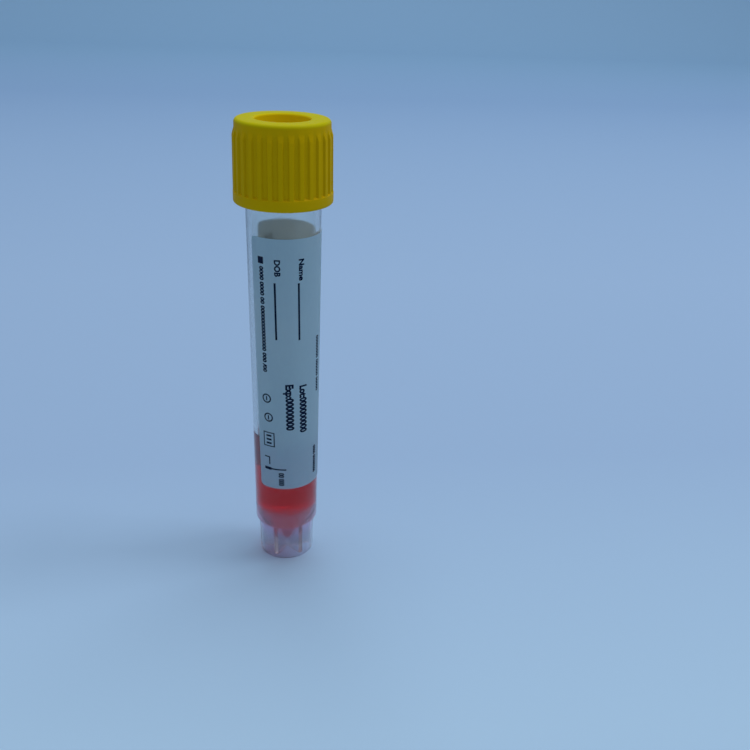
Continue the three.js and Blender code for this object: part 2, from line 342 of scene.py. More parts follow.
class Finish:
    """A material with a Principled shader, and short ways to give it a pattern."""

    def __init__(self, name):
        self.material = bpy.data.materials.new(name)
        self.material.use_nodes = True
        self.nodes = self.material.node_tree.nodes
        self.links = self.material.node_tree.links
        self.shader = self.nodes["Principled BSDF"]
        self.output = self.nodes["Material Output"]
        self.coordinates = self.nodes.new("ShaderNodeTexCoord")

    def set(self, **values):
        for name, value in values.items():
            self.shader.inputs[name.replace("_", " ")].default_value = value

    def node(self, kind, **values):
        """A new node with values on its inputs."""
        node = self.nodes.new("ShaderNode" + kind)
        for name, value in values.items():
            node.inputs[name.replace("_", " ")].default_value = value
        return node

    def feed(self, source, name):
        """Links a pattern to one of the surface's inputs."""
        self.links.new(source, self.shader.inputs[name])

    def noise(self, scale, detail=2, stretch=(1, 1, 1)):
        place = self.node("Mapping", Scale=stretch)
        self.links.new(self.coordinates.outputs["Object"], place.inputs["Vector"])
        noise = self.node("TexNoise", Scale=scale, Detail=detail)
        self.links.new(place.outputs["Vector"], noise.inputs["Vector"])
        return noise.outputs["Fac"]

    def spread(self, source, low, high, from_low=0.3, from_high=0.7):
        """Turns from_low to from_high into low to high. A noise runs from about 0.3 to 0.7."""
        node = self.node("MapRange", From_Min=from_low, From_Max=from_high, To_Min=low, To_Max=high)
        self.links.new(source, node.inputs["Value"])
        return node.outputs["Result"]

    def height(self):
        """Height above the ground, in metres."""
        return self.along("Z")

    def along(self, axis):
        """The place along one axis, in metres."""
        split = self.node("SeparateXYZ")
        self.links.new(self.coordinates.outputs["Object"], split.inputs["Vector"])
        return split.outputs[axis]

    def distance(self):
        """Distance from the upright axis, in metres."""
        flat = self.node("VectorMath")
        flat.operation = "MULTIPLY"
        flat.inputs[1].default_value = (1, 1, 0)
        self.links.new(self.coordinates.outputs["Object"], flat.inputs[0])
        size = self.node("VectorMath")
        size.operation = "LENGTH"
        self.links.new(flat.outputs["Vector"], size.inputs[0])
        return size.outputs["Value"]

    def mottle(self, noise, base, dark, pale):
        """Colours the surface with a noise between a dark and a pale share of a colour."""
        mix = self.mix_colour(self.spread(noise, 0, 1), scaled(base, pale))
        mix.inputs["A"].default_value = (*scaled(base, dark), 1)

    def blend(self, source, other):
        """Blends the surface's pattern of colour into another colour."""
        under = self.shader.inputs["Base Color"].links[0].from_socket
        self.links.new(under, self.mix_colour(source, other).inputs["A"])

    def mix_colour(self, source, other):
        """Makes the surface's colour a mix that reaches another colour where the source is 1."""
        mix = self.node("Mix")
        mix.data_type = "RGBA"
        mix.inputs["B"].default_value = (*other, 1)
        self.links.new(source, mix.inputs["Factor"])
        self.feed(mix.outputs["Result"], "Base Color")
        return mix

    def steps(self, source, shades):
        """Colours that follow one another: pairs of the source's value and the colour there."""
        first, last = shades[0][0], shades[-1][0]
        blend = self.node("ValToRGB")
        stops = blend.color_ramp.elements
        stops.remove(stops[1])
        for number, (value, shade) in enumerate(shades):
            share = (value - first) / (last - first)
            stop = stops.new(share) if number else stops[0]
            stop.color = (*shade, 1)
        self.links.new(self.spread(source, 0, 1, first, last), blend.inputs["Fac"])
        return blend.outputs["Color"]

    def roughen(self, noise, low, high):
        """Varies the roughness with a noise."""
        self.feed(self.spread(noise, low, high), "Roughness")

    def bump(self, source, distance):
        """Adds relief of the given depth in metres over any relief already there."""
        node = self.node("Bump", Strength=1.0, Distance=distance)
        self.links.new(source, node.inputs["Height"])
        below = self.shader.inputs["Normal"]
        if below.links:
            self.links.new(below.links[0].from_socket, node.inputs["Normal"])
        self.links.new(node.outputs["Normal"], below)

    def let_light_through(self, share):
        """Lamps shine through the piece, with that share of their light left."""
        mix = self.mix_shader("BsdfTransparent", share)
        path = self.node("LightPath")
        self.links.new(path.outputs["Is Shadow Ray"], mix.inputs["Fac"])

    def pass_daylight(self, share, tint):
        """Light from behind glows through the surface, in that share of its brightness."""
        self.mix_shader("BsdfTranslucent", tint).inputs["Fac"].default_value = share

    def mix_shader(self, kind, tint):
        """Makes the surface a mix of its own shader and one of another kind."""
        other = self.node(kind, Color=(*tint, 1))
        mix = self.node("MixShader")
        self.links.new(self.shader.outputs["BSDF"], mix.inputs[1])
        self.links.new(other.outputs["BSDF"], mix.inputs[2])
        self.links.new(mix.outputs["Shader"], self.output.inputs["Surface"])
        return mix


def grey(level):
    return (level, level, level)


def scaled(colour_value, share):
    return tuple(min(channel * share, 1) for channel in colour_value)


# The clear plastic round the cone: heights in millimetres with the roughness, and with the share of
# light that is let through.
CONE_HAZE = ((7.0, 0.17), (10.0, 0.25), (13.5, 0.25), (16.0, 0.12))
CONE_CLARITY = ((7.0, 0.97), (9.5, 0.89), (12.5, 0.9), (15.5, 1.0))
HAZE_GRAIN = 0.012
WETTED_SHINE = 0.08


def clear_plastic(tube):
    """Clear moulded plastic, a little cloudy, with a painted pink glow of the medium round the cone and
    painted shade with a faint pink glow at the foot.
    """
    finish = Finish("clear_plastic")
    finish.set(IOR=1.49)
    height = finish.height()
    # Colour by height: painted shade with a faint pink glow at the foot, a painted pink glow of the
    # medium round the cone, and the plastic's own tint above.
    tint = finish.steps(height, ((4.5 * MM, tube.foot_painted_shade_and_glow), (9.0 * MM, tube.cone_painted_glow),
                                 (14.0 * MM, tube.cone_painted_glow), (16.5 * MM, tube.tint)))
    finish.feed(tint, "Base Color")
    against_medium = finish.node("Attribute")
    against_medium.attribute_name = "wetted"
    finish.feed(finish.spread(against_medium.outputs["Fac"], 1, WETTED_SHINE, 0, 1), "Specular Tint")
    haze, clear = (finish.steps(height, [(place * MM, grey(level)) for place, level in shades])
                   for shades in (CONE_HAZE, CONE_CLARITY))
    finish.feed(clear, "Transmission Weight")
    add = finish.node("Math")
    add.operation = "ADD"
    finish.links.new(haze, add.inputs[0])
    finish.links.new(finish.spread(finish.noise(900, 3), -HAZE_GRAIN, HAZE_GRAIN), add.inputs[1])
    finish.feed(add.outputs["Value"], "Roughness")
    finish.bump(finish.noise(260, 2, (1, 1, 0.25)), 0.00002)
    finish.let_light_through((0.92, 0.93, 0.96))
    cloud = finish.node("VolumeScatter", Color=(1, 1, 1, 1), Density=tube.cloud, Anisotropy=0.3)
    finish.links.new(cloud.outputs["Volume"], finish.output.inputs["Volume"])
    return finish.material


def cap_plastic(cap):
    """Opaque coloured plastic with a satin moulded surface, with a painted sheen of light from above at
    the rim and painted bounced light in the hollow.
    """
    finish = Finish("yellow_plastic")
    finish.set(IOR=1.5, Specular_IOR_Level=0.03)
    finish.mottle(finish.noise(160, 4), cap.plastic, 0.97, 1.03)
    # Painted sheen on the rim, in place of reflected light from above.
    rim = finish.spread(finish.height(), 0, 1, CAP_TOP - 0.9 * MM, CAP_TOP - 0.3 * MM)
    finish.blend(rim, cap.rim_painted_sheen)
    # Painted bounced light inside the hollow's radius, fading out over 0.4 mm beyond it.
    recess_edge = cap.recess_radius
    finish.blend(finish.spread(finish.distance(), 1, 0, recess_edge, recess_edge + 0.4 * MM),
                 cap.recess_painted_glow)
    finish.roughen(finish.noise(700, 3), 0.42, 0.56)
    finish.bump(finish.noise(5200, 2), 0.000006)
    finish.bump(finish.noise(420, 2), 0.000012)
    return finish.material


def ring_silicone(silicone):
    """Soft matte silicone."""
    finish = Finish("silicone")
    finish.set(IOR=1.41, Specular_IOR_Level=0.35)
    finish.mottle(finish.noise(300), silicone, 0.97, 1.02)
    finish.roughen(finish.noise(900), 0.5, 0.66)
    finish.bump(finish.noise(3600), 0.000006)
    return finish.material


def label_face(paper):
    """Coated label paper with faint fibres."""
    finish = Finish("label_face")
    finish.set(IOR=1.45, Specular_IOR_Level=0.3)
    fibres = finish.noise(1500, 4, (1, 1, 0.45))
    finish.mottle(fibres, paper, 0.965, 1.02)
    finish.roughen(finish.noise(800, 3), 0.42, 0.58)
    finish.bump(fibres, 0.000004)
    finish.pass_daylight(0.5, (1.0, 0.96, 0.95))
    return finish.material


def label_back(adhesive):
    """The label's back, seen through the tube: paper with a mottled film of glue."""
    finish = Finish("label_back")
    finish.set(IOR=1.45, Specular_IOR_Level=0.2)
    finish.mottle(finish.noise(520, 4), adhesive, 0.9, 1.05)
    finish.roughen(finish.noise(900), 0.5, 0.7)
    finish.bump(finish.noise(1200, 3), 0.000005)
    finish.pass_daylight(0.97, (1.0, 0.92, 0.76))
    return finish.material


def label_ink(ink):
    """Dark print with a slight sheen."""
    finish = Finish("label_ink")
    finish.set(IOR=1.45, Specular_IOR_Level=0.12)
    finish.mottle(finish.noise(2400, 3), ink, 0.8, 1.5)
    finish.roughen(finish.noise(1500), 0.45, 0.6)
    finish.bump(finish.noise(5000), 0.000003)
    return finish.material


def red_medium(density, dye):
    """Clear watery medium, dyed red all through."""
    finish = Finish("red_medium")
    finish.set(Base_Color=(1, 1, 1, 1), Transmission_Weight=1.0, IOR=1.33, Roughness=0.0)
    finish.set(Specular_Tint=(0.05, 0.05, 0.05, 1))
    finish.bump(finish.noise(180, 2), 0.00001)
    finish.let_light_through((0.9, 0.45, 0.5))
    absorb = finish.node("VolumeAbsorption", Color=(*dye, 1), Density=density)
    finish.links.new(absorb.outputs["Volume"], finish.output.inputs["Volume"])
    return finish.material


# ---------------------------------------------------------------- tube

CONE_STEPS = 8
CONE_END_ROUND = 2.5 * MM
BORE_MARGIN = 0.2 * MM
CONE_MARGIN = 0.5 * MM


def tube_radius(tube, height):
    """Outside radius of the tube's tapered wall."""
    share = (height - tube.shoulder_height) / (tube.neck_foot - tube.shoulder_height)
    return tube.shoulder_radius + (tube.neck_radius - tube.shoulder_radius) * share


def cone_corners(tube, end_radius, offset):
    """Tip and end of the bore's cone, moved out square to itself by offset."""
    top_radius = tube_radius(tube, tube.cone_top) - tube.wall
    half_angle = math.atan(top_radius / (tube.cone_top - tube.cone_tip))
    sharp_tip = (tube.cone_tip + tube.cone_tip_round / math.sin(half_angle) - tube.cone_tip_round
                 - (tube.cone_tip_round + offset) / math.sin(half_angle))
    return sharp_tip, sharp_tip + end_radius / math.tan(half_angle), half_angle


def cone_outline(tube, end_radius, offset):
    """Outline of the cone from its rounded tip on the axis to end_radius."""
    sharp_tip, end_height, half_angle = cone_corners(tube, end_radius, offset)
    round_radius = tube.cone_tip_round + offset
    centre = sharp_tip + round_radius / math.sin(half_angle)
    corners = []
    for step in range(CONE_STEPS + 1):
        lean = (math.pi / 2 - half_angle) * step / CONE_STEPS
        corners.append((round_radius * math.sin(lean), centre - round_radius * math.cos(lean)))
    return corners, (end_radius, end_height)


class SWABTUBE_OT_tube(bpy.types.Operator):
    """Make the clear tube with its conical bottom, skirt, webs and threaded neck"""
    bl_idname = "object.swab_tube_shell"
    bl_label = "Clear Tube"

    def execute(self, context):
        tube, thread = settings("tube"), settings("thread")
        bore_neck = tube.neck_radius - tube.wall
        root = tube.neck_radius - tube.neck_step
        tip, cone_end = cone_outline(tube, tube_radius(tube, tube.cone_top) - tube.wall, 0)
        waterline = MEDIUM_TOP + settings("medium").meniscus
        bm = turned([
            *tip,
            (*cone_end, CONE_END_ROUND),
            (tube_radius(tube, waterline) - tube.wall, waterline),
            (bore_neck, tube.neck_foot),
            (bore_neck, TUBE_TOP, 0.2 * MM),
            (root, TUBE_TOP, 0.3 * MM),
            (root, TUBE_TOP - 1.2 * MM, 0, 60),
            (root, tube.neck_foot + 1.4 * MM),
            (root, tube.neck_foot + tube.neck_step),
            (tube.neck_radius, tube.neck_foot, 0.1 * MM),
            (tube.shoulder_radius, tube.shoulder_height, 0.3 * MM),
            (tube.skirt_top_radius, tube.shoulder_height, 0.2 * MM),
            (tube.skirt_foot_radius, 0, 0.35 * MM),
            (0, 0),
        ], TUBE_STEPS)
        for vert in bm.verts:
            on_wall = math.hypot(vert.co.x, vert.co.y) > root - MERGE
            if on_wall and vert.co.z > tube.neck_foot + tube.neck_step:
                move_out(vert, thread_height(vert, thread.neck_start, thread))
        piece = new_object("tube_shell", bm)
        cut_away(piece, self.pockets(tube))
        wetted = piece.data.attributes.new("wetted", "FLOAT", "FACE")
        for face in piece.data.polygons:
            wetted.data[face.index].value = 1 if self.wetted(tube, face.center) else 0
        finish_piece(piece, "tube_body", [clear_plastic(tube)], "tube")
        return {"FINISHED"}

    def wetted(self, tube, place):
        """True on the bore, where the medium touches it."""
        radius = math.hypot(place.x, place.y)
        in_bore = radius < tube_radius(tube, place.z) - tube.wall + BORE_MARGIN
        sharp_tip, _, half_angle = cone_corners(tube, 0, 0)
        cone_height = max(sharp_tip + radius / math.tan(half_angle), tube.cone_tip)
        waterline = MEDIUM_TOP + settings("medium").meniscus
        return in_bore and cone_height - CONE_MARGIN < place.z < waterline

    def pockets(self, tube):
        """The hollows under the cone, between the webs."""
        radius = tube.skirt_foot_radius - tube.skirt_wall
        tip, cone_end = cone_outline(tube, radius, tube.wall)
        hollow = new_object("hollow", turned([
            *tip,
            (*cone_end, 0.4 * MM),
            (radius, 0),
            (radius + 0.3 * MM, -0.3 * MM),
            (radius + 0.3 * MM, -1 * MM),
            (0, -1 * MM),
        ], TUBE_STEPS))
        for plate in range(tube.web_count // 2):
            bm = bmesh.new()
            bmesh.ops.create_cube(bm, size=1)
            height = tube.cone_top - tube.web_lift
            bmesh.ops.scale(bm, verts=bm.verts, vec=(tube.web_thickness, 3 * radius, height))
            bmesh.ops.translate(bm, verts=bm.verts, vec=(0, 0, tube.web_lift + height / 2))
            low = [edge for edge in bm.edges
                   if all(vert.co.z < tube.web_lift + MM for vert in edge.verts)
                   and abs(edge.verts[0].co.y - edge.verts[1].co.y) > MM]
            bmesh.ops.bevel(bm, geom=low, offset=0.25 * MM, offset_type="OFFSET", segments=4,
                            profile=0.5, affect="EDGES", material=-1)
            direction = tube.web_azimuth + plate * math.tau / tube.web_count
            bmesh.ops.rotate(bm, verts=bm.verts, cent=(0, 0, 0),
                             matrix=Matrix.Rotation(direction, 3, "Z"))
            cut_away(hollow, new_object("plate", bm))
        return hollow


# ---------------------------------------------------------------- cap

class SWABTUBE_OT_cap(bpy.types.Operator):
    """Make the ribbed screw cap with its thread and its hollow sealing plug"""
    bl_idname = "object.swab_tube_cap"
    bl_label = "Screw Cap"

    def execute(self, context):
        cap, thread = settings("cap"), settings("thread")
        recess_foot = cap.recess_radius - cap.plug_draft
        band_top = CAP_BOTTOM + cap.band_height
        ribs_end = CAP_TOP - cap.rib_top
        slope_foot = ribs_end - cap.rib_slope
        bead = cap.plug_bead
        bm = turned([
            (0, cap.plug_bottom),
            (cap.plug_radius - cap.plug_draft, cap.plug_bottom, 0.35 * MM),
            (cap.plug_radius - cap.plug_draft / 3, cap.plug_bead_height - 2 * bead, 0.2 * MM),
            (cap.plug_radius + bead, cap.plug_bead_height, 0.3 * MM),
            (cap.plug_radius, cap.plug_bead_height + 2 * bead, 0.2 * MM),
            (cap.plug_radius, cap.plate_underside),
            (cap.bore_radius, cap.plate_underside, 0.3 * MM),
            (cap.bore_radius, thread.cap_start + thread.lead * thread.turns + MM, 0, 56),
            (cap.bore_radius, thread.cap_start - MM),
            (cap.bore_radius, CAP_BOTTOM + 0.5 * MM, 0.1 * MM),
            (cap.bore_radius + 0.5 * MM, CAP_BOTTOM, 0.1 * MM),
            (BAND_RADIUS, CAP_BOTTOM, cap.edge_round),
            (BAND_RADIUS, band_top, 0.15 * MM),
            (self.wall(cap, band_top) + 0.02 * MM, band_top + 0.3 * MM, 0.12 * MM),
            (self.wall(cap, band_top), band_top + 0.6 * MM),
            (self.wall(cap, slope_foot), slope_foot, 0, 12),
            (self.wall(cap, ribs_end), ribs_end),
            (cap.top_radius, CAP_TOP, cap.rim_round),
            (cap.recess_radius, CAP_TOP, cap.lip_round),
            (recess_foot, cap.recess_floor, 0.4 * MM),
            (0.8 * MM, cap.recess_floor, 0.1 * MM),
            (0.7 * MM, cap.recess_floor + 0.2 * MM, 0.1 * MM),
            (0, cap.recess_floor + 0.2 * MM),
        ], cap.rib_count * RIB_STEPS)
        rib_angle = math.tau / cap.rib_count
        for vert in bm.verts:
            radius = math.hypot(vert.co.x, vert.co.y)
            if abs(radius - cap.bore_radius) < MERGE:
                move_out(vert, -thread_height(vert, thread.cap_start, thread))
            wall = self.wall(cap, vert.co.z)
            on_wall = wall - 0.01 * MM < radius < wall + 0.3 * MM
            if on_wall and band_top < vert.co.z < CAP_TOP - cap.rim_round:
                turned_by = math.atan2(vert.co.y, vert.co.x) - cap.rib_azimuth
                across = abs((turned_by / rib_angle + 0.5) % 1 - 0.5) * rib_angle * wall
                crest = 1 - ramp(across, cap.rib_crest, cap.rib_foot)
                slanted_end = min(max((ribs_end - vert.co.z) / cap.rib_slope, 0), 1)
                proud = (BAND_RADIUS - 0.02 * MM - self.wall(cap, CAP_BOTTOM)) - (radius - wall)
                move_out(vert, proud * min(crest, slanted_end))
        piece = new_object("cap_shell", bm)
        finish_piece(piece, "cap_body", [cap_plastic(cap)], "cap", 50)
        return {"FINISHED"}

    def wall(self, cap, height):
        """Radius of the wall between the ribs."""
        return cap.top_radius + cap.draft * (CAP_TOP - height) / (CAP_TOP - CAP_BOTTOM)


# ---------------------------------------------------------------- seal ring

class SWABTUBE_OT_ring(bpy.types.Operator):
    """Make the silicone ring that seals the cap on the tube's mouth"""
    bl_idname = "object.swab_tube_ring"
    bl_label = "Seal Ring"

    def execute(self, context):
        ring = settings("ring")
        edge = ring.edge_round
        bm = turned([
            (RING_HIGH.x, RING_LOW.z, edge),
            (RING_HIGH.x, RING_HIGH.z, edge),
            (ring.inner_radius, RING_HIGH.z, edge),
            (ring.inner_radius, RING_LOW.z, edge),
        ], RING_STEPS, closed=True)
        piece = new_object("seal_ring_fine", bm)
        finish_piece(piece, "ring_body", [ring_silicone(ring.silicone)], "seal_ring")
        return {"FINISHED"}


# ---------------------------------------------------------------- label

LABEL_COLUMNS = 96
LABEL_ROWS = 12

# Lettering in millimetres: foot line, where it begins, length, height and the weight of its strokes.
WORDS = (
    ("DOB", 5.47, 76.3, 3.6, 1.2, 0.045),
    ("Name", 10.47, 76.4, 4.7, 1.12, 0.045),
    ("Exp:00000000", 7.16, 47.9, 11.5, 1.75, 0.055),
    ("Lot:000000000", 10.33, 47.35, 11.95, 1.75, 0.055),
    ("0000 0000 00 00000000000000 000 /00", 2.12, 74.6, 24.1, 0.95, 0.06),
    ("00 000", 5.07, 25.2, 3.5, 1.25, 0.05),
    ("00000000 000000 00000", 15.37, 57.9, 13.6, 0.95, 0.06),
    ("0000 00000000", 14.27, 30.5, 7.3, 0.95, 0.07),
)

# Bars in millimetres: place across the label, height, width and length.
BARS = (
    (5.42, 64.9, 0.42, 12.8),
    (10.34, 64.75, 0.42, 12.9),
    (2.42, 75.9, 1.3, 1.5),
    (2.27, 29.1, 1.4, 0.28),
    (2.87, 28.1, 0.28, 1.9),
    (4.17, 26.05, 5.3, 0.34),
    (2.42, 26.05, 1.7, 0.7),
)

# Blocks of small print: first foot line, line pitch, where the lines begin, weight and the lines.
SMALL_PRINT = (
    (19.7, 2.2, 76.0, 0.06, ("0000000 00000000 0000 000000", "00000 000 000000000 0000000",
                             "00000000 0000 0000")),
    (34.1, 1.4, 77.8, 0.05, ("0000 000000 000", "00000000 000000 00000")),
)


def bend_round_tube(bm, lift):
    """Wraps flat work round the tube: x along the wrap, y up the tube, z outwards."""
    label, tube = settings("label"), settings("tube")
    middle = (LABEL_BOTTOM + LABEL_TOP) / 2
    mean_radius = tube_radius(tube, middle)
    centre = label.start_azimuth + label.width / 2 / mean_radius
    lean = math.tan(label.lean)
    for vert in bm.verts:
        across, up, out = vert.co
        azimuth = centre + (across - up * lean) / mean_radius
        radius = tube_radius(tube, middle + up) + lift + out
        vert.co = Vector((radius * math.sin(azimuth), -radius * math.cos(azimuth), middle + up))


def cut_strips(bm, size, count, across):
    """Cuts flat work of a size into strips side by side, so that it bends smoothly."""
    for strip in range(1, count):
        bmesh.ops.bisect_plane(bm, geom=bm.verts[:] + bm.edges[:] + bm.faces[:], dist=MERGE,
                               plane_co=across * (strip / count - 0.5) * size, plane_no=across)


class SWABTUBE_OT_label(bpy.types.Operator):
    """Make the wrap label and its print"""
    bl_idname = "object.swab_tube_label"
    bl_label = "Label"

    def execute(self, context):
        label = settings("label")
        height = LABEL_TOP - LABEL_BOTTOM
        bm = bmesh.new()
        bmesh.ops.create_grid(bm, x_segments=1, y_segments=1, size=0.5)
        bmesh.ops.scale(bm, verts=bm.verts, vec=(label.width, height, 1))
        bmesh.ops.bevel(bm, geom=bm.verts[:], offset=label.corner_round, offset_type="OFFSET",
                        segments=6, profile=0.5, affect="VERTICES", material=-1)
        cut_strips(bm, label.width, LABEL_COLUMNS, Vector((1, 0, 0)))
        cut_strips(bm, height, LABEL_ROWS, Vector((0, 1, 0)))
        bmesh.ops.solidify(bm, geom=bm.faces[:], thickness=label.thickness + label.bedding)
        bmesh.ops.recalc_face_normals(bm, faces=bm.faces[:])
        low = min(vert.co.z for vert in bm.verts)
        bmesh.ops.translate(bm, verts=bm.verts[:], vec=(0, 0, -low - label.bedding))
        for face in bm.faces:
            face.material_index = 1 if face.normal.z < -0.5 else 0
        bend_round_tube(bm, 0)
        piece = new_object("label_wrap", bm)
        finish_piece(piece, "tube_body",
                     [label_face(label.paper), label_back(label.adhesive)], "label")
        self.make_print(label)
        return {"FINISHED"}

    def make_print(self, label):
        """The print, laid out flat as one page, then bent on to the label."""
        page = Page(label)
        for words in WORDS:
            page.words(*words)
        for bar in BARS:
            page.bar(*bar)
        page.dial(2.67, 44.1)
        page.dial(2.97, 39.4)
        page.frame_with_bars(2.89, 33.75, 2.85, 3.7)
        for first, pitch, top, weight, lines in SMALL_PRINT:
            for line, words in enumerate(lines):
                page.words(words, first + pitch * line, top, len(words) * 0.7, 0.95, weight)
        bm = page.bm
        bmesh.ops.solidify(bm, geom=bm.faces[:], thickness=label.ink_thickness)
        bmesh.ops.recalc_face_normals(bm, faces=bm.faces[:])
        cut_strips(bm, label.width, LABEL_COLUMNS, Vector((1, 0, 0)))
        low = min(vert.co.z for vert in bm.verts)
        bmesh.ops.translate(bm, verts=bm.verts[:], vec=(0, 0, -low - label.ink_thickness / 3))
        bend_round_tube(bm, label.thickness)
        piece = new_object("label_print", bm)
        finish_piece(piece, "tube_body", [label_ink(label.ink)])


class Page:
    """Flat print for the label. Places are millimetres from the label's left edge, and heights."""

    def __init__(self, label):
        self.bm = bmesh.new()
        self.left = -label.width / 2
        self.middle = (LABEL_BOTTOM + LABEL_TOP) / 2

    def add(self, shape, matrix):
        bmesh.ops.transform(shape, verts=shape.verts[:], matrix=matrix)
        mesh = bpy.data.meshes.new("print_part")
        shape.to_mesh(mesh)
        shape.free()
        self.bm.from_mesh(mesh)
        bpy.data.meshes.remove(mesh)

    def place(self, across, height):
        return Matrix.Translation((self.left + across * MM, height * MM - self.middle, 0))

    def words(self, body, across, top, long, tall, weight):
        """Lettering that reads down the tube: across is its foot line, top where it begins."""
        curve = bpy.data.curves.new("lettering", "FONT")
        curve.body = body
        curve.offset = weight
        curve.resolution_u = 3
        text = bpy.data.objects.new("lettering", curve)
        bpy.context.scene.collection.objects.link(text)
        depsgraph = bpy.context.evaluated_depsgraph_get()
        mesh = bpy.data.meshes.new_from_object(text.evaluated_get(depsgraph))
        shape = bmesh.new()
        shape.from_mesh(mesh)
        bpy.data.objects.remove(text)
        bpy.data.curves.remove(curve)
        bpy.data.meshes.remove(mesh)
        bmesh.ops.remove_doubles(shape, verts=shape.verts[:], dist=1e-5)
        begin = min(vert.co.x for vert in shape.verts)
        end = max(vert.co.x for vert in shape.verts)
        high = max(vert.co.y for vert in shape.verts)
        size = Matrix.Diagonal((long * MM / (end - begin), tall * MM / high, 1, 1))
        self.add(shape, self.place(across, top) @ Matrix.Rotation(-math.pi / 2, 4, "Z")
                 @ size @ Matrix.Translation((-begin, 0, 0)))

    def bar(self, across, height, wide, tall):
        shape = bmesh.new()
        bmesh.ops.create_grid(shape, x_segments=1, y_segments=1, size=0.5)
        self.add(shape, self.place(across, height) @ Matrix.Diagonal((wide * MM, tall * MM, 1, 1)))

    def dial(self, across, height):
        """A thin circle round a short bar."""
        shape = bmesh.new()
        bmesh.ops.create_circle(shape, cap_ends=True, segments=36, radius=1.12 * MM)
        disc = shape.faces[:]
        bmesh.ops.inset_region(shape, faces=disc, thickness=0.32 * MM, use_boundary=True)
        bmesh.ops.delete(shape, geom=disc, context="FACES")
        self.add(shape, self.place(across, height))
        self.bar(across, height, 0.3, 1.1)

    def frame_with_bars(self, across, height, wide, tall):
        line, pitch = 0.25, 0.95
        for side in (-1, 1):
            self.bar(across + side * (wide - line) / 2, height, line, tall)
            self.bar(across, height + side * (tall - line) / 2, wide - 2 * line, line)
        for step in (-1, 0, 1):
            self.bar(across, height + step * pitch, 1.3, 0.45)


# ---------------------------------------------------------------- medium

MENISCUS_STEPS = 10
MENISCUS_REACH = 3.2 * MM
MENISCUS_FADE = 0.75 * MM


class SWABTUBE_OT_medium(bpy.types.Operator):
    """Fill the tube's conical bottom with red transport medium"""
    bl_idname = "object.swab_tube_medium"
    bl_label = "Transport Medium"

    def execute(self, context):
        medium, tube = settings("medium"), settings("tube")
        bedding = medium.bedding
        side = tube_radius(tube, MEDIUM_TOP) - tube.wall
        cone_radius = tube_radius(tube, tube.cone_top) - tube.wall
        tip, cone_end = cone_outline(tube, cone_radius + bedding, bedding)
        waterline = MEDIUM_TOP + medium.meniscus
        corners = [*tip, (*cone_end, CONE_END_ROUND), (side + bedding, waterline + 0.1 * MM)]
        for step in range(MENISCUS_STEPS + 1):
            inwards = MENISCUS_REACH * step / MENISCUS_STEPS
            climb = medium.meniscus * math.exp(-inwards / MENISCUS_FADE)
            corners.append((side - inwards, MEDIUM_TOP + climb))
        corners.append((0, MEDIUM_TOP))
        piece = new_object("medium_fill", turned(corners, TUBE_STEPS))
        finish_piece(piece, "tube_body",
                     [red_medium(medium.absorption, medium.dye)], "medium", 60)
        return {"FINISHED"}


# ---------------------------------------------------------------- stage

FULL_LIGHT = math.pi ** 2
OVERHEAD_PLACE, OVERHEAD_SIZE = (0.2, 0.65, 2.4), 1.8
KEY_PLACE, KEY_SIZE = (1.15, 0.03, 1.8), 0.5


def floor_finish(stage):
    """Plain pale paper, painted darker towards the backdrop in place of the light's falloff."""
    finish = Finish("floor_paper")
    finish.set(Roughness=0.6, Specular_IOR_Level=0.15)
    # Distance along Y in metres and the floor's colour there; the darkening towards the back is painted
    # falloff of the light.
    shades = ((-0.06, stage.near_floor), (0.04, stage.middle_floor), (0.2, stage.middle_floor),
              (0.83, stage.far_floor), (1.34, stage.backdrop))
    finish.feed(finish.steps(finish.along("Y"), shades), "Base Color")
    finish.bump(finish.noise(600, 3), 0.00002)
    return finish.material


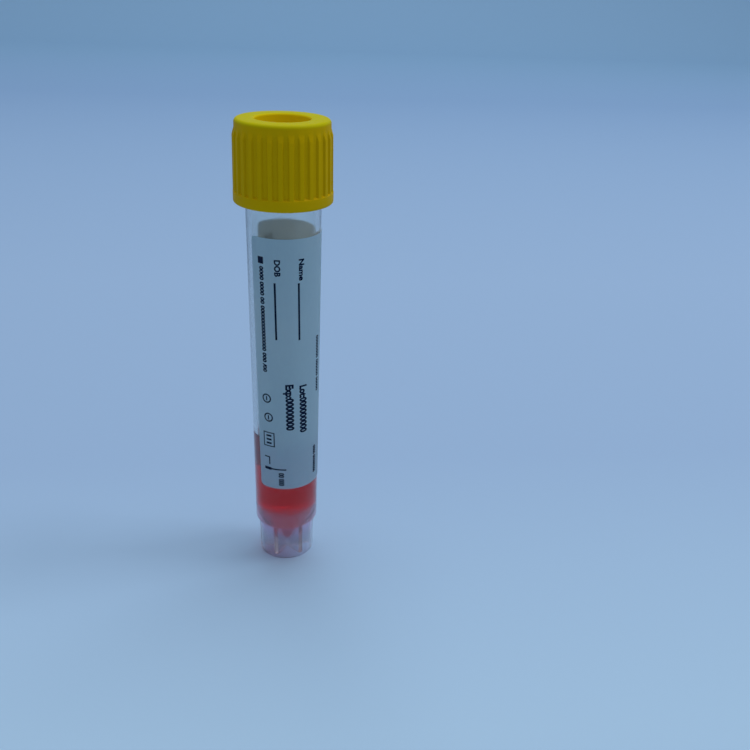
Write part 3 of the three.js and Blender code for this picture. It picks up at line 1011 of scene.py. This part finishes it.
class SWABTUBE_OT_stage(bpy.types.Operator):
    """Make the floor, the backdrop, the lamps, the plain sky and the camera"""
    bl_idname = "scene.swab_tube_stage"
    bl_label = "Floor, Light and Camera"

    def execute(self, context):
        stage = settings("stage")
        self.make_floor(stage)
        self.make_world(context, stage)
        self.make_lamp(stage, "overhead_lamp", OVERHEAD_PLACE, OVERHEAD_SIZE, stage.overhead_level)
        self.make_lamp(stage, "key_lamp", KEY_PLACE, KEY_SIZE, stage.key_level)
        self.make_camera(context, stage)
        context.scene.view_settings.view_transform = "Standard"
        context.scene.cycles.max_bounces = 16
        context.scene.cycles.transmission_bounces = 14
        context.scene.cycles.volume_bounces = 2
        return {"FINISHED"}

    def make_floor(self, stage):
        """A floor that sweeps up into a backdrop."""
        bm = bmesh.new()
        front, corner, top, half_width, sweep = -4.0, 1.9, 1.6, 3.0, 0.45
        outline = ((front, 0), (corner, 0), (corner, top))
        verts = [bm.verts.new((-half_width, y, z)) for y, z in outline]
        for pair in zip(verts, verts[1:]):
            bm.edges.new(pair)
        round_corner(bm, verts[1].co.copy(), sweep, 16)
        across = bmesh.ops.extrude_edge_only(bm, edges=bm.edges[:])
        moved = [item for item in across["geom"] if isinstance(item, bmesh.types.BMVert)]
        bmesh.ops.translate(bm, verts=moved, vec=(2 * half_width, 0, 0))
        bmesh.ops.recalc_face_normals(bm, faces=bm.faces[:])
        if sum(face.normal.z for face in bm.faces) < 0:
            bmesh.ops.reverse_faces(bm, faces=bm.faces[:])
        floor = new_object("floor", bm)
        floor.data.shade_smooth()
        floor.data.materials.append(floor_finish(stage))

    def make_world(self, context, stage):
        """A plain sky that lights the scene, and a paler one where it is seen."""
        world = bpy.data.worlds.new("plain_sky")
        world.use_nodes = True
        nodes, links = world.node_tree.nodes, world.node_tree.links
        sky = nodes["Background"]
        sky.inputs["Color"].default_value = (*stage.sky_tint, 1)
        sky.inputs["Strength"].default_value = stage.world_level
        seen = nodes.new("ShaderNodeBackground")
        seen.inputs["Color"].default_value = (*stage.seen_sky, 1)
        path = nodes.new("ShaderNodeLightPath")
        either = nodes.new("ShaderNodeMath")
        either.operation = "MAXIMUM"
        links.new(path.outputs["Is Camera Ray"], either.inputs[0])
        links.new(path.outputs["Is Transmission Ray"], either.inputs[1])
        mix = nodes.new("ShaderNodeMixShader")
        links.new(either.outputs["Value"], mix.inputs["Fac"])
        links.new(sky.outputs["Background"], mix.inputs[1])
        links.new(seen.outputs["Background"], mix.inputs[2])
        links.new(mix.outputs["Shader"], nodes["World Output"].inputs["Surface"])
        context.scene.world = world

    def make_lamp(self, stage, name, place, size, level):
        """A square soft lamp that faces the tube's middle. Level 1 alone is full light."""
        middle = Vector((0, 0, TUBE_TOP / 2))
        aim = middle - Vector(place)
        lamp = bpy.data.lights.new(name, "AREA")
        lamp.shape = "SQUARE"
        lamp.size = size
        lamp.color = stage.lamp_tint
        lamp.energy = FULL_LIGHT * aim.length_squared * level
        holder = bpy.data.objects.new(name, lamp)
        holder.location = place
        holder.rotation_euler = aim.to_track_quat("-Z", "Y").to_euler()
        holder.visible_camera = False
        bpy.context.scene.collection.objects.link(holder)

    def make_camera(self, context, stage):
        yaw, pitch, roll = stage.yaw, stage.pitch, stage.roll
        level = math.cos(pitch)
        forward = Vector((math.sin(yaw) * level, math.cos(yaw) * level, -math.sin(pitch)))
        right = Vector((math.cos(yaw), -math.sin(yaw), 0))
        up = right.cross(forward)
        rolled_right = math.cos(roll) * right + math.sin(roll) * up
        rolled_up = -math.sin(roll) * right + math.cos(roll) * up
        turn_matrix = Matrix((rolled_right, rolled_up, -forward)).transposed().to_4x4()
        lens = bpy.data.cameras.new("camera")
        lens.lens = stage.lens
        lens.sensor_width = 36
        lens.clip_start = 0.005
        lens.clip_end = 20
        camera = bpy.data.objects.new("camera", lens)
        camera.matrix_world = Matrix.Translation(stage.camera_place) @ turn_matrix
        bpy.context.scene.collection.objects.link(camera)
        context.scene.camera = camera


# ---------------------------------------------------------------- add-on

MAKERS = (
    ("tube", SWABTUBE_OT_tube),
    ("cap", SWABTUBE_OT_cap),
    ("ring", SWABTUBE_OT_ring),
    ("label", SWABTUBE_OT_label),
    ("medium", SWABTUBE_OT_medium),
    ("stage", SWABTUBE_OT_stage),
)


class SWABTUBE_PT_panel(bpy.types.Panel):
    """Lists the tube's pieces"""
    bl_idname = "SWABTUBE_PT_panel"
    bl_label = "Swab Tube"
    bl_space_type = "VIEW_3D"
    bl_region_type = "UI"
    bl_category = "Swab Tube"

    def draw(self, context):
        for name, maker in MAKERS:
            box = self.layout.box()
            box.operator(maker.bl_idname)
            self.list_settings(context, box, name)
        box = self.layout.box()
        box.label(text="Thread")
        self.list_settings(context, box, "thread")

    def list_settings(self, context, box, name):
        group = getattr(context.scene, "swab_tube_" + name)
        for prop in group.__annotations__:
            box.prop(group, prop)


def register():
    for group in SETTINGS.values():
        bpy.utils.register_class(group)
    for name, group in SETTINGS.items():
        setattr(bpy.types.Scene, "swab_tube_" + name, PointerProperty(type=group))
    for _, maker in MAKERS:
        bpy.utils.register_class(maker)
    bpy.utils.register_class(SWABTUBE_PT_panel)


def unregister():
    bpy.utils.unregister_class(SWABTUBE_PT_panel)
    for _, maker in reversed(MAKERS):
        bpy.utils.unregister_class(maker)
    for name in SETTINGS:
        delattr(bpy.types.Scene, "swab_tube_" + name)
    for group in reversed(SETTINGS.values()):
        bpy.utils.unregister_class(group)


def main():
    register()
    bpy.ops.object.swab_tube_shell()
    bpy.ops.object.swab_tube_cap()
    bpy.ops.object.swab_tube_ring()
    bpy.ops.object.swab_tube_label()
    bpy.ops.object.swab_tube_medium()
    bpy.ops.scene.swab_tube_stage()


if __name__ == "__main__":
    main()
